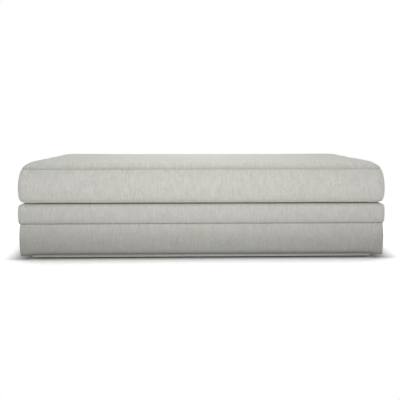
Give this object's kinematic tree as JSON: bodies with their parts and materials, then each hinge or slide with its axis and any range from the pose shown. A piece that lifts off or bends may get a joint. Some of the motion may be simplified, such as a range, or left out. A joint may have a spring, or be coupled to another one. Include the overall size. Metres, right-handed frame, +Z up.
{
  "type": "upholstered ottoman",
  "caption": "Long low upholstered bench ottoman: a loose box cushion with a zipped cover on a padded, webbed timber base with a recessed plinth.",
  "frame": {"origin": "middle of the footprint, on the floor under the glides", "axes": "+X along the length, +Y to the back where the cushion's zip is, +Z up"},
  "size_m": [1.7734, 0.7234, 0.4724],
  "materials": {
    "upholstery": "light warm grey woven cloth with a fine upright slub",
    "deck_lining": "plain tight lining cloth",
    "dust_cloth": "thin black spunbond cloth",
    "foam": "open-cell cushion foam",
    "fibre": "lofted polyester fibre",
    "webbing": "woven seat webbing",
    "hessian": "coarse plain-woven hessian",
    "timber": "sawn pale hardwood",
    "glide_nylon": "moulded nylon",
    "screw_steel": "zinc-plated steel",
    "zip_tape": "woven zip tape",
    "zip_coil": "nylon coil teeth",
    "zip_metal": "nickel-plated zinc alloy"
  },
  "bodies": {
    "base": {"glides": "glide_nylon", "plinth_screws": "screw_steel", "plinth_blocks": "timber", "plinth_front": "timber", "plinth_back": "timber", "plinth_left": "timber", "plinth_right": "timber", "plinth_cloth_front": "upholstery", "plinth_cloth_back": "upholstery", "plinth_cloth_left": "upholstery", "plinth_cloth_right": "upholstery", "dust_cloth": "dust_cloth", "bottom_board_front": "timber", "bottom_board_back": "timber", "bottom_board_left": "timber", "bottom_board_right": "timber", "rail_front": "timber", "rail_back": "timber", "rail_left": "timber", "rail_right": "timber", "cross_rails": "timber", "frame_corner_blocks": "timber", "base_foam_front": "foam", "base_foam_back": "foam", "base_foam_left": "foam", "base_foam_right": "foam", "base_cover_front": "upholstery", "base_cover_back": "upholstery", "base_cover_left": "upholstery", "base_cover_right": "upholstery", "band_foam_front": "foam", "band_foam_back": "foam", "band_foam_left": "foam", "band_foam_right": "foam", "band_cover_front": "upholstery", "band_cover_back": "upholstery", "band_cover_left": "upholstery", "band_cover_right": "upholstery", "cross_webbing": "webbing", "long_webbing": "webbing", "hessian": "hessian", "deck_foam": "foam", "deck_cloth": "deck_lining"},
    "seat_cushion": {"cushion_core": "foam", "fibre_top": "fibre", "fibre_bottom": "fibre", "fibre_sides": "fibre", "top_panel": "upholstery", "bottom_panel": "upholstery", "boxing_front": "upholstery", "boxing_left": "upholstery", "boxing_right": "upholstery", "zip_strip_upper": "upholstery", "zip_strip_lower": "upholstery", "zip_tapes": "zip_tape", "zip_chain": "zip_coil", "zip_stops": "zip_metal"},
    "zip_slider": {"zip_slider": "zip_metal"},
    "zip_pull": {"zip_pull": "zip_metal"}
  },
  "joints": [
    {"name": "cushion_lift", "type": "slide", "parent": "base", "child": "seat_cushion", "axis": [0, 0, 1], "range_m": [0, 0.28]},
    {"name": "zip_travel", "type": "slide", "parent": "seat_cushion", "child": "zip_slider", "axis": [1, 0, 0], "range_m": [0, 1.566]},
    {"name": "pull_swing", "type": "hinge", "parent": "zip_slider", "child": "zip_pull", "pos_m": [-0.783, 0.3571, 0.3614], "axis": [0, 0, 1], "range_deg": [0, 180]}
  ]
}
